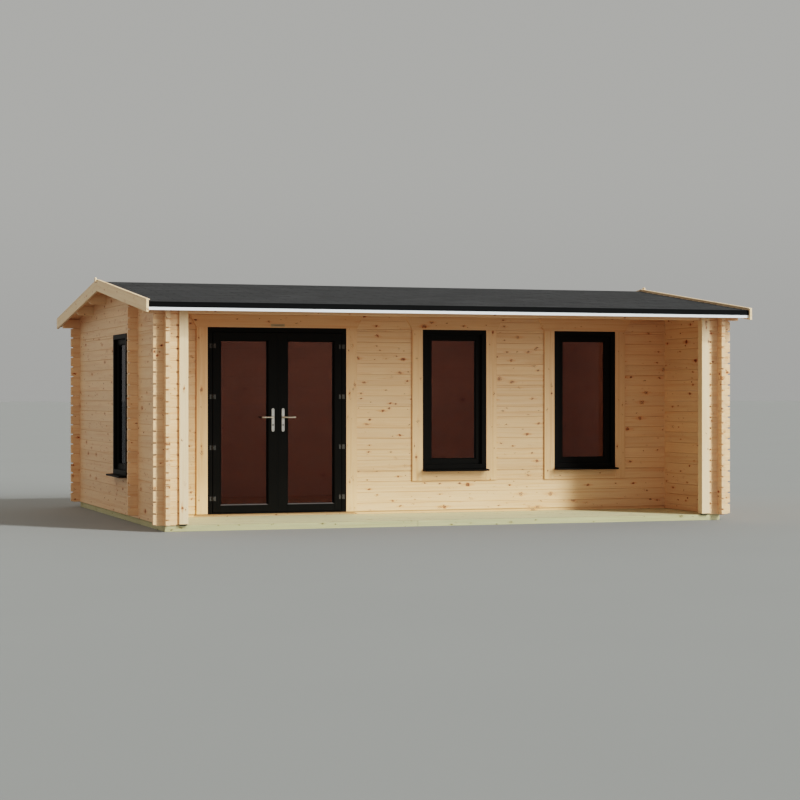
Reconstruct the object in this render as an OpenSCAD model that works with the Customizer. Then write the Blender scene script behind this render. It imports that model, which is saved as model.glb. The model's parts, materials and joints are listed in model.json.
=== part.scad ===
// Log cabin with a full-width veranda.
// The origin is at ground level, in the middle of the plan. The veranda faces -Y, the ridge runs along X.

/* [Walls] */
// Width over the outer faces of the two gable walls
wall_w = 6000; // [5600:50:6600]
// Depth from the veranda's front edge to the outer face of the back wall
wall_d = 4750; // [4550:50:5200]
// Thickness of a log
log_t = 44; // [38:2:50]
// Height of one log course
log_h = 114; // [114]
// Length of the gable walls' log ends beyond the front and the back
corner_out = 95; // [85:5:105]
// Length of the other logs' ends beyond the gable walls
cross_out = 104; // [90:2:110]
// Depth of the veranda, from the front logs to the room's front wall
veranda_d = 1260; // [1150:10:1400]

/* [Base] */
// Height of the treated bearers
base_h = 60; // [60]
// Thickness of the floor boards
floor_t = 28; // [28]

/* [Roof] */
// Overhang of the roof beyond the front and back logs
eave_out = 262; // [240:2:300]
// Overhang of the roof beyond each gable wall
gable_out = 225; // [205:5:260]
// Rise of the roof over its run
roof_slope = 0.1235; // [0.11:0.0005:0.13]
// Vertical depth of a barge board
barge_h = 113; // [100:1:130]

/* [Door] */
// Overall width of the double door's frame
door_w = 1498; // [1400:2:1600]
// Centre of the double door
door_x = -1522; // [-1600:2:-1400]
// Width of a leaf's outer stile and rails
stile_w = 78; // [70:1:90]
// Width of a leaf's stile at the meeting line
meeting_w = 100; // [95:1:110]
// Clearance round a leaf
door_gap = 5; // [5:0.5:7]

/* [Windows] */
// Overall width of a window frame
window_w = 728; // [660:2:760]
// Centres of the two front windows
window_x = [451, 1980];
// Centre of the gable window, along the left wall
window_y = -188; // [-250:1:-150]

/* [Hidden] */
$fn = 32;

PINE = "burlywood";
TREATED = "darkkhaki";
BLACK = "dimgray";

// Half sizes and the main planes of the building
half_w = wall_w / 2;
front_y = -wall_d / 2;
back_y = wall_d / 2;
recess_y = front_y + veranda_d;
floor_z = base_h + floor_t;

// Log courses: joints of the logs along X, and of the gable walls half a log higher
courses = 18;
half_log = log_h / 2;
quarter_log = log_h / 4;
header_z = base_h + courses * log_h;
groove = 4;
notch_d = 26;
notch_h = 7;
base_inset = 12;
bearer_w = 60;
joist_w = 45;
joist_h = 32;
joists = 6;

// Roof surfaces, all measured vertically
board_t = 19.2;
cover_t = 4;
eave_y = wall_d / 2 + eave_out;
cover_eave_z = 2209;
ridge_top = cover_eave_z + roof_slope * eave_y;
slope_gap = 0.1;
barge_t = 25;
barge_rise = 16;
cap_t = 12;
cap_in = 10;
barge_x = half_w + gable_out;
roof_x = barge_x - barge_t;
fascia_back = 25;
edge_h = 49;
edge_t = 8;
fascia_h = 31;
fascia_t = 18;
purlin_t = 44;
purlin_h = 98;
purlin_y = [687, 1447];
purlin_cut = 35;
ridge_block = [18, 50, 34];
ridge_block_drop = 19;

// Corner posts
post = 90;
post_foot = [70, 10];
post_lap = 2196;

// Door
door_top = 2026;
jamb = 48;
threshold = 12;
frame_d = 66;
trim_t = 18;
frame_y = recess_y - trim_t;
leaf_t = 60;
leaf_y = frame_y - door_gap;
glass_t = 24;
glass_y = leaf_y + 22;
bottom_rail = 72;
leaf_z = floor_z + threshold + door_gap;
leaf_top = door_top - jamb - door_gap;
leaf_w = (door_w - 2 * jamb - 3 * door_gap) / 2;
leaf_bevel = 4;
bead = 8;
hinge_z = [248, 777, 1305, 1833];
hinge_h = 48;
hinge_r = 7;
hinge_t = 5;
hinge_w = 33;
hinge_edge = 13;
knuckle_gap = 0.5;
pin_r = 4;
pin_play = 0.05;
lever_z = 1091;
plate = [32, 246, 8];
plate_z = 1062;
plate_in = 52;
spindle_r = 4;
lever_r = 8.5;
lever_len = 130;
lever_off = 44;
hub_r = 12;
stem_r = 10;
play = 0.5;

// Windows
window_top = 2023;
window_foot = 528;
side_window_drop = 53;
window_d = 74;
window_out = 12;
outer_frame = 50;
sash = 54;
sash_step = 34;
pane_step = 10;
sill_t = 22;
sill_out = [103, 78];
trim_w = 120;
apron_z = 402;
head_board_top = 2158;
head_cut = 72;
vent = [148, 5, 28];
vent_z = 2037;

door_left = door_x - door_w / 2;
door_right = door_x + door_w / 2;

// Height of the roof covering's top above a point y, of the boards' underside, and of what carries them
function cover_z(y) = ridge_top - roof_slope * abs(y);
function under_z(y) = cover_z(y) - cover_t - board_t;
function beam_z(y) = under_z(y) - slope_gap;

// Outline of a stack of logs across the wall, from z0 to the heights top0 and top1 of its two faces,
// with a V groove of half height g at each joint
function joints(first, z0, z1) = [for (z = first; z < z1; z = z + log_h) if (z > z0 + groove && z < z1 - groove) z];
function stack_outline(z0, top0, top1, first, g) = concat(
    [[0, z0]],
    [for (z = joints(first, z0, top0)) each [[0, z - g], [g, z], [0, z + g]]],
    [[0, top0], [log_t, top1]],
    [for (z = reversed(joints(first, z0, top1))) each [[log_t, z + g], [log_t - g, z], [log_t, z - g]]],
    [[log_t, z0]]
);
function reversed(list) = [for (i = [len(list) - 1 : -1 : 0]) list[i]];

// Side view of a stack of logs from a to b, its top at heights top_a and top_b. Free ends have a notch of
// depth na or nb at each joint.
function notch(x, z, d, h) = d == 0 ? [] : [[x, z - h], [x + d, z - h], [x + d, z + h], [x, z + h]];
function side_outline(a, b, z0, top_a, top_b, first, na, nb, peak = []) = concat(
    [[a, z0]],
    [for (z = joints(first, z0, top_a)) each notch(a, z, na, notch_h)],
    [[a, top_a]],
    peak,
    [[b, top_b]],
    [for (z = reversed(joints(first, z0, top_b))) each notch(b, z, -nb, -notch_h)],
    [[b, z0]]
);

// Extrusion of an outline in the (y, z) plane along X, and of one in the (x, z) plane along Y
module along_x(x0, x1) {
    translate([x0, 0, 0]) rotate([90, 0, 90]) linear_extrude(x1 - x0) children();
}
module along_y(y0, y1) {
    translate([0, y1, 0]) rotate([90, 0, 0]) linear_extrude(y1 - y0) children();
}
module box(x0, x1, y0, y1, z0, z1) {
    translate([x0, y0, z0]) cube([x1 - x0, y1 - y0, z1 - z0]);
}

// Stack of logs along X, its front face at y, under the roof
module x_logs(x0, x1, y, z0, z1, n0 = 0, n1 = 0) {
    top0 = min(z1, beam_z(y));
    top1 = min(z1, beam_z(y + log_t));
    top = max(top0, top1);
    intersection() {
        along_x(x0, x1) translate([y, 0])
            polygon(stack_outline(z0, top0, top1, base_h + log_h, groove));
        along_y(y, y + log_t)
            polygon(side_outline(x0, x1, z0, top, top, base_h + log_h, n0, n1));
    }
}

// Notches that let logs along X and logs of a gable wall pass through each other in turn
module crossing(x, y, first, z1) {
    for (z = [first : log_h : z1])
        translate([x, y, z]) cube([log_t, log_t, half_log]);
}
// The room left for the gable walls' logs, cut from the logs along X
module gable_log_room(y) {
    for (x = [-half_w, half_w - log_t])
        crossing(x, y, base_h - quarter_log, under_z(0));
}
// The room left for the logs along X, cut from a gable wall
module cross_log_room(x) {
    for (y = [front_y, recess_y, back_y - log_t])
        crossing(x, y, base_h + quarter_log, min(under_z(y), under_z(y + log_t)) + log_h);
}

// Purlin centred on y: flat below, following the roof above, its lower corners cut off at the ends
function purlin_low(y) = under_z(abs(y) + purlin_t / 2) - purlin_h + (y == 0 ? purlin_t * roof_slope : 0);
module purlin(y) {
    y0 = y - purlin_t / 2;
    y1 = y + purlin_t / 2;
    low = purlin_low(y);
    high = low + 2 * purlin_h;
    intersection() {
        along_x(-roof_x, roof_x) polygon(concat(
            [[y0, low], [y0, beam_z(y0)]],
            y == 0 ? [[0, beam_z(0)]] : [],
            [[y1, beam_z(y1)], [y1, low]]
        ));
        along_y(y0, y1) polygon([
            [-roof_x + purlin_cut, low], [-roof_x, low + purlin_cut], [-roof_x, high],
            [roof_x, high], [roof_x, low + purlin_cut], [roof_x - purlin_cut, low]
        ]);
    }
}

// Gable wall with its outer face towards -X or +X, from its front log ends to its back log ends
module gable_wall(x) {
    y0 = front_y - corner_out;
    y1 = back_y + corner_out;
    difference() {
        intersection() {
            along_x(x, x + log_t) polygon(side_outline(y0, y1, base_h, beam_z(y0), beam_z(y1),
                base_h + half_log, notch_d, notch_d, [[0, beam_z(0)]]));
            along_y(y0, y1) translate([x, 0])
                polygon(stack_outline(base_h, under_z(0), under_z(0), base_h + half_log, groove));
        }
        cross_log_room(x);
        for (y = [0, purlin_y[0], purlin_y[1], -purlin_y[0], -purlin_y[1]])
            box(x - 1, x + log_t + 1, y - purlin_t / 2, y + purlin_t / 2, purlin_low(y), under_z(0) + log_h);
    }
}

// ---- Base ----

module bearers() color(TREATED) {
    x = half_w - base_inset;
    y = back_y - base_inset;
    sole_y = recess_y + log_t / 2;
    box(-x, x, -y, -y + bearer_w, 0, base_h);
    box(-x, x, y - bearer_w, y, 0, base_h);
    for (s = [-1, 1])
        box(min(s * x, s * (x - bearer_w)), max(s * x, s * (x - bearer_w)), -y + bearer_w, y - bearer_w, 0, base_h);
    box(-x + bearer_w, x - bearer_w, sole_y - bearer_w / 2, sole_y + bearer_w / 2, 0, base_h);
    for (i = [1 : joists])
        let (step = (y - bearer_w - sole_y - bearer_w / 2) / (joists + 1), yj = sole_y + bearer_w / 2 + i * step)
            box(-x + bearer_w, x - bearer_w, yj - joist_w / 2, yj + joist_w / 2, 0, base_h);
    for (i = [1 : 2])
        let (step = (veranda_d - bearer_w) / 3, yj = front_y + base_inset + bearer_w / 2 + i * step)
            box(-x + bearer_w, x - bearer_w, yj - joist_w / 2, yj + joist_w / 2, 0, joist_h);
}

module veranda_floor() color(TREATED)
    box(-half_w + base_inset + bearer_w, half_w - base_inset - bearer_w,
        front_y + base_inset + bearer_w, recess_y + log_t / 2 - bearer_w / 2, joist_h, base_h);

module room_floor() color(PINE)
    box(-half_w + log_t, half_w - log_t, recess_y + log_t, back_y - log_t, base_h, floor_z);

module wall_sole() color(TREATED)
    box(-half_w + log_t, half_w - log_t, recess_y + 10, recess_y + log_t, base_h, floor_z);

// ---- Walls ----

module left_wall() color(PINE) difference() {
    gable_wall(-half_w);
    box(-half_w - 1, -half_w + log_t + 1, window_y - window_w / 2, window_y + window_w / 2,
        window_foot - side_window_drop - sill_t, window_top - side_window_drop);
}

module right_wall() color(PINE) gable_wall(half_w - log_t);

module back_wall() color(PINE) difference() {
    x_logs(-half_w - cross_out, half_w + cross_out, back_y - log_t, base_h, header_z, notch_d, notch_d);
    gable_log_room(back_y - log_t);
}

module front_wall_left() color(PINE) difference() {
    x_logs(-half_w - cross_out, door_left, recess_y, floor_z, under_z(0), notch_d, 0);
    gable_log_room(recess_y);
}

module front_wall_over_door() color(PINE)
    x_logs(door_left, door_right, recess_y, door_top, under_z(0));

module front_wall_right() color(PINE) difference() {
    x_logs(door_right, half_w + cross_out, recess_y, floor_z, under_z(0), 0, notch_d);
    gable_log_room(recess_y);
    for (x = window_x)
        box(x - window_w / 2, x + window_w / 2, recess_y - 1, recess_y + log_t + 1, window_foot - sill_t, window_top);
}

// Short crossed logs at a front corner, at the side s of the middle
module front_return(s) {
    x0 = s < 0 ? -half_w - cross_out : half_w - log_t - cross_out;
    difference() {
        x_logs(x0, x0 + log_t + 2 * cross_out, front_y, base_h, header_z, notch_d, notch_d);
        gable_log_room(front_y);
    }
}
module left_return() color(PINE) front_return(-1);
module right_return() color(PINE) front_return(1);

// Posts beside the returns, each on a foot, with a cheek that laps up over the header log
module corner_posts() color(PINE)
    for (s = [-1, 1]) {
        x = s < 0 ? -half_w + log_t + cross_out : half_w - log_t - cross_out - post;
        y = front_y + log_t / 2 - post / 2;
        inset = (post - post_foot[0]) / 2;
        box(x + inset, x + post - inset, y + inset, y + post - inset, base_h, base_h + post_foot[1]);
        box(x, x + post, y, y + post, base_h + post_foot[1], header_z);
        box(x, x + post, y, front_y, header_z, post_lap);
    }

// Top log over the veranda and its twin on the back wall, both running out to the barge boards
module header_log() color(PINE)
    for (y = [front_y, back_y - log_t])
        difference() {
            x_logs(-roof_x, roof_x, y, header_z, under_z(0));
            gable_log_room(y);
        }

// ---- Roof ----

module ridge_purlin() color(PINE) purlin(0);
module front_purlins() color(PINE)
    for (y = purlin_y)
        purlin(-y);
module back_purlins() color(PINE)
    for (y = purlin_y)
        purlin(y);

// Layer of the roof on the side s, from a depth below the covering's top to another
module roof_layer(s, x, y0, y1, low, high) {
    along_x(-x, x) polygon([
        [s * y0, cover_z(y0) - low], [s * y1, cover_z(y1) - low],
        [s * y1, cover_z(y1) - high], [s * y0, cover_z(y0) - high]
    ]);
}
fascia_y = eave_y - fascia_back;
module roof_boards(s) color(PINE) roof_layer(s, roof_x, 0, fascia_y - edge_t, cover_t + board_t, cover_t);
module front_roof_boards() roof_boards(-1);
module back_roof_boards() roof_boards(1);
module roof_cover(s) color("dimgray") roof_layer(s, roof_x, 0, fascia_y - edge_t, cover_t, 0);
module front_roof_cover() roof_cover(-1);
module back_roof_cover() roof_cover(1);

// Pair of barge boards on a gable, meeting at a plumb joint under the ridge
barge_joint = 1;
module barge_boards(x) color(PINE)
    for (s = [-1, 1])
        translate([x, 0, 0]) along_x(0, barge_t) polygon([
            [s * barge_joint / 2, cover_z(barge_joint / 2) + barge_rise],
            [s * eave_y, cover_z(eave_y) + barge_rise],
            [s * eave_y, cover_z(eave_y) + barge_rise - barge_h],
            [s * barge_joint / 2, cover_z(barge_joint / 2) + barge_rise - barge_h]
        ]);
module left_barge_boards() barge_boards(-barge_x);
module right_barge_boards() barge_boards(barge_x - barge_t);

// Capping strips that lie on the barge boards, one pair a gable
module barge_caps() color(PINE)
    for (x = [-barge_x, roof_x - cap_in])
        along_x(x, x + barge_t + cap_in) polygon([
            [0, cover_z(0) + barge_rise + cap_t],
            [eave_y, cover_z(eave_y) + barge_rise + cap_t],
            [eave_y, cover_z(eave_y) + barge_rise + slope_gap],
            [0, cover_z(0) + barge_rise + slope_gap],
            [-eave_y, cover_z(eave_y) + barge_rise + slope_gap],
            [-eave_y, cover_z(eave_y) + barge_rise + cap_t]
        ]);

// Small block over the barge boards' joint at each gable
module ridge_blocks() color(PINE)
    for (s = [-1, 1]) {
        z = cover_z(0) + barge_rise;
        x0 = s * barge_x;
        x1 = s * (barge_x + ridge_block[0]);
        half = ridge_block[1] / 2;
        along_x(min(x0, x1), max(x0, x1)) polygon([
            [-half, z - ridge_block_drop], [half, z - ridge_block_drop],
            [half, z + ridge_block[2] - 8], [0, z + ridge_block[2]], [-half, z + ridge_block[2] - 8]
        ]);
    }

// Black drip edge of the covering and the white fascia below it, at both eaves
module eave_edges() color(BLACK)
    for (s = [-1, 1])
        along_x(-roof_x, roof_x) polygon([
            [s * fascia_y, cover_z(fascia_y)], [s * (fascia_y - edge_t), cover_z(fascia_y - edge_t)],
            [s * (fascia_y - edge_t), cover_z(fascia_y) - edge_h], [s * fascia_y, cover_z(fascia_y) - edge_h]
        ]);
module eave_fascias() color("white")
    for (s = [-1, 1])
        along_x(-roof_x, roof_x) polygon([
            [s * (fascia_y - edge_t), under_z(fascia_y - edge_t)],
            [s * (fascia_y - edge_t), cover_z(fascia_y) - edge_h],
            [s * (fascia_y - 1), cover_z(fascia_y) - edge_h],
            [s * (fascia_y - 1), cover_z(fascia_y) - edge_h - fascia_h],
            [s * (fascia_y - edge_t - fascia_t), cover_z(fascia_y) - edge_h - fascia_h],
            [s * (fascia_y - edge_t - fascia_t), under_z(fascia_y - edge_t - fascia_t)]
        ]);

// ---- Double door ----

module door_frame() color(BLACK) difference() {
    box(door_left, door_right, frame_y, frame_y + frame_d, floor_z, door_top);
    box(door_left + jamb, door_right - jamb, frame_y - 1, frame_y + frame_d + 1, floor_z + threshold, door_top - jamb);
}

// Leaf i, left or right: its hinge stile is the outer one, and its meeting edge is bevelled so that
// it swings clear of the other leaf
leaf_x = [door_left + jamb + door_gap, door_x + door_gap / 2];
function side(i) = i == 0 ? -1 : 1;
function stile_left(i) = i == 0 ? stile_w : meeting_w;
function stile_right(i) = i == 0 ? meeting_w : stile_w;
function hinge_edge_x(i) = i == 0 ? leaf_x[0] : leaf_x[1] + leaf_w;
function meeting_edge_x(i) = i == 0 ? leaf_x[0] + leaf_w : leaf_x[1];
function spindle_x(i) = meeting_edge_x(i) + side(i) * plate_in;
module leaf_pane(i, y0, y1, grow) {
    box(leaf_x[i] + stile_left(i) - grow, leaf_x[i] + leaf_w - stile_right(i) + grow, y0, y1,
        leaf_z + bottom_rail - grow, leaf_top - stile_w + grow);
}
module door_leaf(i) color(BLACK) difference() {
    translate([0, 0, leaf_z]) linear_extrude(leaf_top - leaf_z) polygon([
        [hinge_edge_x(i), leaf_y], [meeting_edge_x(i), leaf_y],
        [meeting_edge_x(i) + side(i) * leaf_bevel, leaf_y + leaf_t], [hinge_edge_x(i), leaf_y + leaf_t]
    ]);
    leaf_pane(i, leaf_y - 1, leaf_y + leaf_t + 1, 0);
    leaf_pane(i, glass_y, glass_y + glass_t, bead);
    translate([spindle_x(i), leaf_y - 1, lever_z]) rotate([-90, 0, 0]) cylinder(r = stem_r + play, h = leaf_t + 2);
}
module left_door_leaf() door_leaf(0);
module right_door_leaf() door_leaf(1);
module door_glass(i) color("saddlebrown", 0.6) leaf_pane(i, glass_y, glass_y + glass_t, bead);
module left_door_glass() door_glass(0);
module right_door_glass() door_glass(1);

// Long plates with round ends, one on each face of a leaf
module plate_outline() {
    hull()
        for (z = [-1, 1])
            translate([0, z * (plate[1] - plate[0]) / 2]) circle(d = plate[0]);
}
module door_plates(i) color("silver")
    for (y = [leaf_y - plate[2], leaf_y + leaf_t])
        difference() {
            translate([spindle_x(i), 0, plate_z]) along_y(y, y + plate[2]) plate_outline();
            translate([spindle_x(i), y - 1, lever_z]) rotate([-90, 0, 0]) cylinder(r = stem_r + play, h = plate[2] + 2);
        }
module left_door_plates() door_plates(0);
module right_door_plates() door_plates(1);

// Spindle with a lever on each side, the levers pointing towards the hinges
module door_lever(i) color("silver") {
    y0 = leaf_y - plate[2] - lever_off;
    y1 = leaf_y + leaf_t + plate[2] + lever_off;
    translate([spindle_x(i), y0, lever_z]) rotate([-90, 0, 0]) cylinder(r = spindle_r, h = y1 - y0);
    for (y = [y0, y1 - 2 * lever_r])
        translate([spindle_x(i), y, lever_z]) {
            rotate([-90, 0, 0]) cylinder(r = hub_r, h = 2 * lever_r);
            translate([0, lever_r, 0]) rotate([0, side(i) * 90, 0]) cylinder(r = lever_r, h = lever_len);
        }
    for (y = [y0, y1 - lever_off - plate[2]])
        translate([spindle_x(i), y, lever_z]) rotate([-90, 0, 0]) cylinder(r = stem_r, h = lever_off + plate[2]);
}
module left_door_lever() door_lever(0);
module right_door_lever() door_lever(1);

// Hinges on the pivot lines. The moving half is a plate on the leaf with the middle knuckle, and the
// fixed half a plate on the frame with the upper and lower knuckles and the pin.
hinge_y = leaf_y - hinge_r;
function hinge_x(i) = hinge_edge_x(i) + side(i) * door_gap / 2;
module hinge_box(i, s, x0, x1, y0, y1, z0, z1) {
    a = hinge_x(i) - s * side(i) * x0;
    b = hinge_x(i) - s * side(i) * x1;
    box(min(a, b), max(a, b), hinge_y + y0, hinge_y + y1, z0, z1);
}
module knuckle(i, z, h) {
    translate([hinge_x(i), hinge_y, z]) cylinder(r = hinge_r, h = h);
}
module door_hinges(i) color("gray")
    for (z = hinge_z) {
        low = z - hinge_h / 6 + knuckle_gap;
        high = z + hinge_h / 6 - knuckle_gap;
        difference() {
            union() {
                hinge_box(i, 1, hinge_edge, hinge_w, hinge_r - hinge_t, hinge_r, z - hinge_h / 2, z + hinge_h / 2);
                hinge_box(i, 1, 0, hinge_w, hinge_r - hinge_t, hinge_r, low, high);
                knuckle(i, low, high - low);
            }
            translate([hinge_x(i), hinge_y, low - 1]) cylinder(r = pin_r + pin_play, h = high - low + 2);
        }
    }
module left_door_hinges() door_hinges(0);
module right_door_hinges() door_hinges(1);
module frame_hinges() color("gray")
    for (i = [0, 1], z = hinge_z) {
        face = frame_y - hinge_y;
        hinge_box(i, -1, hinge_edge, hinge_w, face - hinge_t, face, z - hinge_h / 2, z + hinge_h / 2);
        translate([hinge_x(i), hinge_y, z - hinge_h / 2]) cylinder(r = pin_r, h = hinge_h);
        for (z0 = [z - hinge_h / 2, z + hinge_h / 6]) {
            knuckle(i, z0, hinge_h / 3);
            hinge_box(i, -1, 0, hinge_w, face - hinge_t, face, z0, z0 + hinge_h / 3);
            hinge_box(i, -1, 0, hinge_r, 0, face, z0, z0 + hinge_h / 3);
        }
    }

// Smooth boards round the door: two sides and a head board with slanted ends
module head_board(x0, x1, z) {
    along_y(recess_y - trim_t, recess_y) polygon([
        [x0 - trim_w, z], [x1 + trim_w, z], [x1 + trim_w + head_cut, head_board_top], [x0 - trim_w - head_cut, head_board_top]
    ]);
}
module door_trim() color(PINE) {
    box(door_left - trim_w, door_left, recess_y - trim_t, recess_y, floor_z, door_top);
    box(door_right, door_right + trim_w, recess_y - trim_t, recess_y, floor_z, door_top);
    head_board(door_left, door_right, door_top);
}

module vent_plate() color("gray")
    box(door_x - vent[0] / 2, door_x + vent[0] / 2, recess_y - trim_t - vent[1], recess_y - trim_t, vent_z, vent_z + vent[2]);

// ---- Windows ----

// Frame of a window in its own frame: x across, the outer face at y = 0, the foot at z = 0
window_h = window_top - window_foot;
module window_frame() {
    w = window_w;
    s = outer_frame;
    p = outer_frame + sash;
    difference() {
        union() {
            difference() {
                box(-w / 2, w / 2, 0, window_d, 0, window_h);
                box(-w / 2 + s, w / 2 - s, -1, window_d + 1, s, window_h - s);
            }
            box(-w / 2 + s, w / 2 - s, sash_step, window_d, s, window_h - s);
        }
        box(-w / 2 + p, w / 2 - p, -1, window_d + 1, p, window_h - p);
        window_pane();
    }
}
module window_pane() {
    p = outer_frame + sash;
    y = sash_step + pane_step;
    box(-window_w / 2 + p - bead, window_w / 2 - p + bead, y, y + glass_t, p - bead, window_h - p + bead);
}
module at_front_window(i) {
    translate([window_x[i], recess_y - window_out, window_foot]) children();
}
module at_side_window() {
    translate([-half_w - window_out, window_y, window_foot - side_window_drop]) rotate([0, 0, -90]) children();
}
module front_window_1() color(BLACK) at_front_window(0) window_frame();
module front_window_2() color(BLACK) at_front_window(1) window_frame();
module side_window() color(BLACK) at_side_window() window_frame();
module window_glass() color("saddlebrown", 0.6) {
    at_front_window(0) window_pane();
    at_front_window(1) window_pane();
    at_side_window() window_pane();
}
module sill(out) {
    box(-window_w / 2, window_w / 2, -out, window_d, -sill_t, 0);
}
module window_sills() color(BLACK) {
    at_front_window(0) sill(sill_out[0]);
    at_front_window(1) sill(sill_out[0]);
    at_side_window() sill(sill_out[1]);
}
module window_trim() color(PINE)
    for (x = window_x) {
        x0 = x - window_w / 2;
        x1 = x + window_w / 2;
        box(x0 - trim_w, x0, recess_y - trim_t, recess_y, apron_z, window_top);
        box(x1, x1 + trim_w, recess_y - trim_t, recess_y, apron_z, window_top);
        box(x0, x1, recess_y - trim_t, recess_y, apron_z, window_foot - sill_t);
        head_board(x0, x1, window_top);
    }

bearers();
veranda_floor();
room_floor();
wall_sole();
left_wall();
right_wall();
back_wall();
front_wall_left();
front_wall_over_door();
front_wall_right();
left_return();
right_return();
corner_posts();
header_log();
ridge_purlin();
front_purlins();
back_purlins();
front_roof_boards();
back_roof_boards();
front_roof_cover();
back_roof_cover();
left_barge_boards();
right_barge_boards();
barge_caps();
ridge_blocks();
eave_edges();
eave_fascias();
door_frame();
left_door_leaf();
right_door_leaf();
left_door_glass();
right_door_glass();
left_door_plates();
right_door_plates();
left_door_lever();
right_door_lever();
left_door_hinges();
right_door_hinges();
frame_hinges();
door_trim();
vent_plate();
front_window_1();
front_window_2();
side_window();
window_glass();
window_sills();
window_trim();
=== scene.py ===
import json
import math
import random

import bmesh
import bpy
from mathutils import Matrix, Vector


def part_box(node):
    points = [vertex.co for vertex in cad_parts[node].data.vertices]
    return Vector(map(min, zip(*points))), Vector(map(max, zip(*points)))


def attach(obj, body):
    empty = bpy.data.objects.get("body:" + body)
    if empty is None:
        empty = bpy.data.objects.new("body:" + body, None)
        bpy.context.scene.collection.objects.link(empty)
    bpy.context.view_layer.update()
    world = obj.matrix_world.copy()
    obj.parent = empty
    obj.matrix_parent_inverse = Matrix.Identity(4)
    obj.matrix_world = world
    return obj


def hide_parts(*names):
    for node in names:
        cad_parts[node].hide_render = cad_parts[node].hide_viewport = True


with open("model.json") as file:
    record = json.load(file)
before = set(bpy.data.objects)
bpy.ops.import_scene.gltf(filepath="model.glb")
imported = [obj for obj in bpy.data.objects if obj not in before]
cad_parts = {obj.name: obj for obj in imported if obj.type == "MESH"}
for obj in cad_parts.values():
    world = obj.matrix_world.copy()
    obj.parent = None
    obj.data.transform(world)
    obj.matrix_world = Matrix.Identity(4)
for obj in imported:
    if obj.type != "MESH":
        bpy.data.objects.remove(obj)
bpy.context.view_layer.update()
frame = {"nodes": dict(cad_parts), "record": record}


def span(node):
    """x0, x1, y0, y1, z0, z1 of a CAD node."""
    lo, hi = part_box(node)
    return lo[0], hi[0], lo[1], hi[1], lo[2], hi[2]


# Main planes of the cabin, in metres
GABLE_X0, GABLE_X1, GABLE_Y0, GABLE_Y1 = span("left_wall")[:4]
HALF_W, LOG_T = -GABLE_X0, GABLE_X1 - GABLE_X0
CROSS_X = span("back_wall")[1]
FRONT_Y, RECESS_Y, BACK_Y = span("left_return")[2], span("front_wall_left")[2], span("back_wall")[3]
BASE_H, FLOOR_Z, HEADER_Z = span("bearers")[5], span("room_floor")[5], span("back_wall")[5]
LOG_H = (HEADER_Z - BASE_H) / 18
ROOF_X, BARGE_X = span("front_roof_cover")[1], span("right_barge_boards")[1]
EAVE_Y, COVER_Y = span("left_barge_boards")[3], -span("front_roof_cover")[2]
RIDGE_TOP = span("front_roof_cover")[5]
COVER_T, BOARD_T = 0.004, 0.0192
POST_W, PURLIN_W, PURLIN_H = 0.090, 0.044, 0.098
SILL_T = span("side_window")[4] - span("window_sills")[4]
JOINTS = {joint["child"]: joint["pos_m"] for joint in frame["record"]["behaviour"]["joints"]}
SLOPE = (RIDGE_TOP - COVER_T - span("front_roof_cover")[4]) / COVER_Y
TRIM_Y = span("window_trim")[2]
X, Y, Z = Vector((1, 0, 0)), Vector((0, 1, 0)), Vector((0, 0, 1))


def cover_z(y):
    """Height of the roof covering's top at a distance y from the ridge."""
    return RIDGE_TOP - SLOPE * abs(y)


def under_z(y):
    """Height of the roof boards' underside there."""
    return cover_z(y) - COVER_T - BOARD_T


# ---- Shapes ----


def prism(outline, lo, hi, axis):
    """Points and faces of an outline swept along an axis.

    The outline is (y, z) along X, (x, z) along Y or (x, y) along Z."""
    def at(p, t):
        if axis == "x":
            return Vector((t, p[0], p[1]))
        if axis == "y":
            return Vector((p[0], t, p[1]))
        return Vector((p[0], p[1], t))

    n = len(outline)
    points = [at(p, lo) for p in outline] + [at(p, hi) for p in outline]
    faces = [tuple(range(n))[::-1], tuple(range(n, 2 * n))]
    faces += [(i, (i + 1) % n, (i + 1) % n + n, i + n) for i in range(n)]
    return points, faces


def block(x0, x1, y0, y1, z0, z1):
    return prism([(x0, y0), (x1, y0), (x1, y1), (x0, y1)], z0, z1, "z")


def lathe(profile, sides=24):
    """Points and faces of a closed turned piece about Z, from (radius, z) pairs whose ends have radius 0."""
    points = [Vector((0, 0, profile[0][1]))]
    for r, z in profile[1:-1]:
        points += [Vector((r * math.cos(a), r * math.sin(a), z)) for a in
                   (2 * math.pi * i / sides for i in range(sides))]
    points.append(Vector((0, 0, profile[-1][1])))
    faces = []
    rings = len(profile) - 2
    last = 1 + (rings - 1) * sides
    for i in range(sides):
        j = (i + 1) % sides
        faces.append((0, 1 + j, 1 + i))
        for k in range(rings - 1):
            a, b = 1 + k * sides, 1 + (k + 1) * sides
            faces.append((a + i, a + j, b + j, b + i))
        faces.append((last + i, last + j, len(points) - 1))
    return points, faces


def tube(path, radii, sides=16):
    """Points and faces of a round bar along a path, closed at both ends."""
    points, faces = [], []
    side = None
    for i, p in enumerate(path):
        ahead = path[min(i + 1, len(path) - 1)] - path[max(i - 1, 0)]
        ahead.normalize()
        if side is None:
            side = ahead.orthogonal().normalized()
        side = (side - ahead * side.dot(ahead)).normalized()
        other = ahead.cross(side)
        for k in range(sides):
            a = 2 * math.pi * k / sides
            points.append(p + (side * math.cos(a) + other * math.sin(a)) * radii[i])
    for i in range(len(path) - 1):
        a, b = i * sides, (i + 1) * sides
        faces += [(a + k, a + (k + 1) % sides, b + (k + 1) % sides, b + k) for k in range(sides)]
    faces.append(tuple(range(sides))[::-1])
    faces.append(tuple(range(len(points) - sides, len(points))))
    return points, faces


def moved(shape, matrix):
    points, faces = shape
    return [matrix @ p for p in points], faces


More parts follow.
